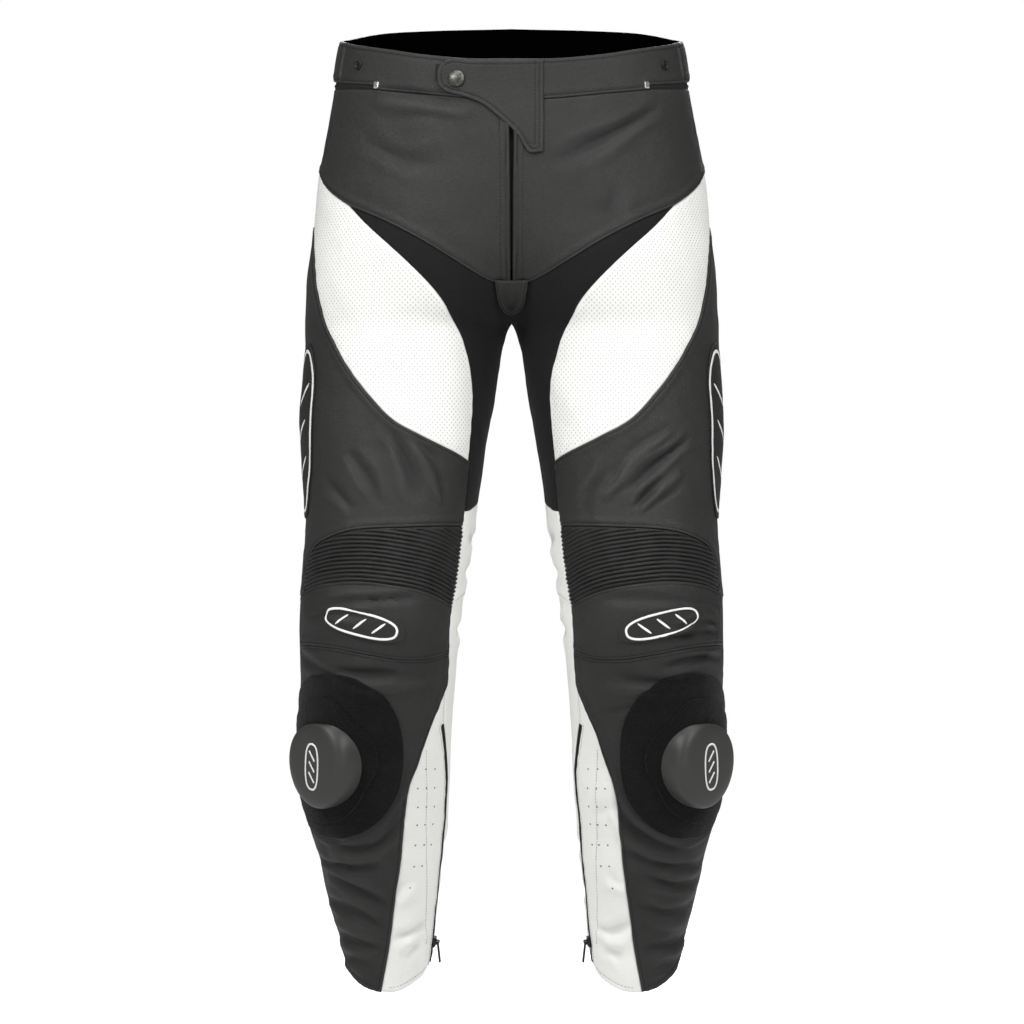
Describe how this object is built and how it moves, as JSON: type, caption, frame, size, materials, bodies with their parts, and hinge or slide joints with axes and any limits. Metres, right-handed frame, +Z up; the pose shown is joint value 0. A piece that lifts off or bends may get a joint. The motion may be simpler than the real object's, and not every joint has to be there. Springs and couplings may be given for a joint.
{
  "type": "motorcycle trousers",
  "caption": "Black and white leather motorcycle trousers, filled out with no wearer, with a flap fly, ribbed knees, knee sliders and ankle zips.",
  "frame": {"origin": "middle of the waist opening, at the height of the rim over the hips, where the wearer's waist holds the trousers", "axes": "+Z up along the garment, -Y the way the wearer faces, +X the wearer's left"},
  "size_m": [0.4676, 0.2712, 1.0228],
  "materials": {
    "black_leather": "soft black cowhide with a fine pebble grain, low sheen and topstitched seams",
    "white_leather": "white cowhide, partly perforated with small round holes",
    "stretch_fabric": "black woven stretch fabric, matt",
    "zip_tape": "black woven zip tape with moulded teeth",
    "loop_felt": "black brushed loop felt for a hook-and-loop fastening",
    "slider_plastic": "dark grey moulded plastic, satin",
    "badge": "thin black overlay with a plain pale outline",
    "dark_metal": "dark antique finish on snaps, ankle sliders and pull tabs",
    "bright_metal": "bright plated zip slider"
  },
  "bodies": {
    "trousers": {"ankle_slider_left": "dark_metal", "ankle_slider_right": "dark_metal", "ankle_zip_left": "zip_tape", "ankle_zip_right": "zip_tape", "band_back_left": "black_leather", "band_back_right": "black_leather", "band_front_left": "black_leather", "band_front_right": "black_leather", "band_side_left": "black_leather", "band_side_right": "black_leather", "band_snap_left": "dark_metal", "band_snap_right": "dark_metal", "calf_back_left": "black_leather", "calf_back_right": "black_leather", "calf_side_white_left": "white_leather", "calf_side_white_right": "white_leather", "calf_white_left": "white_leather", "calf_white_right": "white_leather", "crotch_tab": "black_leather", "flap_snap": "dark_metal", "fly_flap": "black_leather", "fly_zip": "zip_tape", "hip_front_left": "black_leather", "hip_front_right": "black_leather", "inner_stretch_left": "stretch_fabric", "inner_stretch_right": "stretch_fabric", "knee_badge_left": "badge", "knee_badge_right": "badge", "knee_cup_left": "black_leather", "knee_cup_right": "black_leather", "knee_ribs_left": "black_leather", "knee_ribs_right": "black_leather", "knee_slider_left": "slider_plastic", "knee_slider_right": "slider_plastic", "knee_white_left": "white_leather", "knee_white_right": "white_leather", "loop_pad_left": "loop_felt", "loop_pad_right": "loop_felt", "loop_patch_left": "loop_felt", "loop_patch_right": "loop_felt", "seat_left": "black_leather", "seat_right": "black_leather", "shin_front_left": "black_leather", "shin_front_right": "black_leather", "thigh_back_left": "black_leather", "thigh_back_right": "black_leather", "thigh_badge_left": "badge", "thigh_badge_right": "badge", "thigh_outer_left": "black_leather", "thigh_outer_right": "black_leather", "thigh_white_left": "white_leather", "thigh_white_right": "white_leather", "waist_slider_left": "bright_metal", "waist_slider_right": "bright_metal", "waist_zip_left": "zip_tape", "waist_zip_right": "zip_tape"},
    "ankle_pull_left": {"ankle_pull_left": "dark_metal"},
    "ankle_pull_right": {"ankle_pull_right": "dark_metal"}
  },
  "joints": [
    {"name": "ankle_pull_left_swing", "type": "hinge", "parent": "trousers", "child": "ankle_pull_left", "pos_m": [0.07828, 0.07765, -0.95095], "axis": [-0.253, 0.8981, 0.3598], "range_deg": [-15, 155]},
    {"name": "ankle_pull_right_swing", "type": "hinge", "parent": "trousers", "child": "ankle_pull_right", "pos_m": [-0.07828, 0.07765, -0.95095], "axis": [-0.253, -0.8981, -0.3598], "range_deg": [-15, 155]}
  ]
}
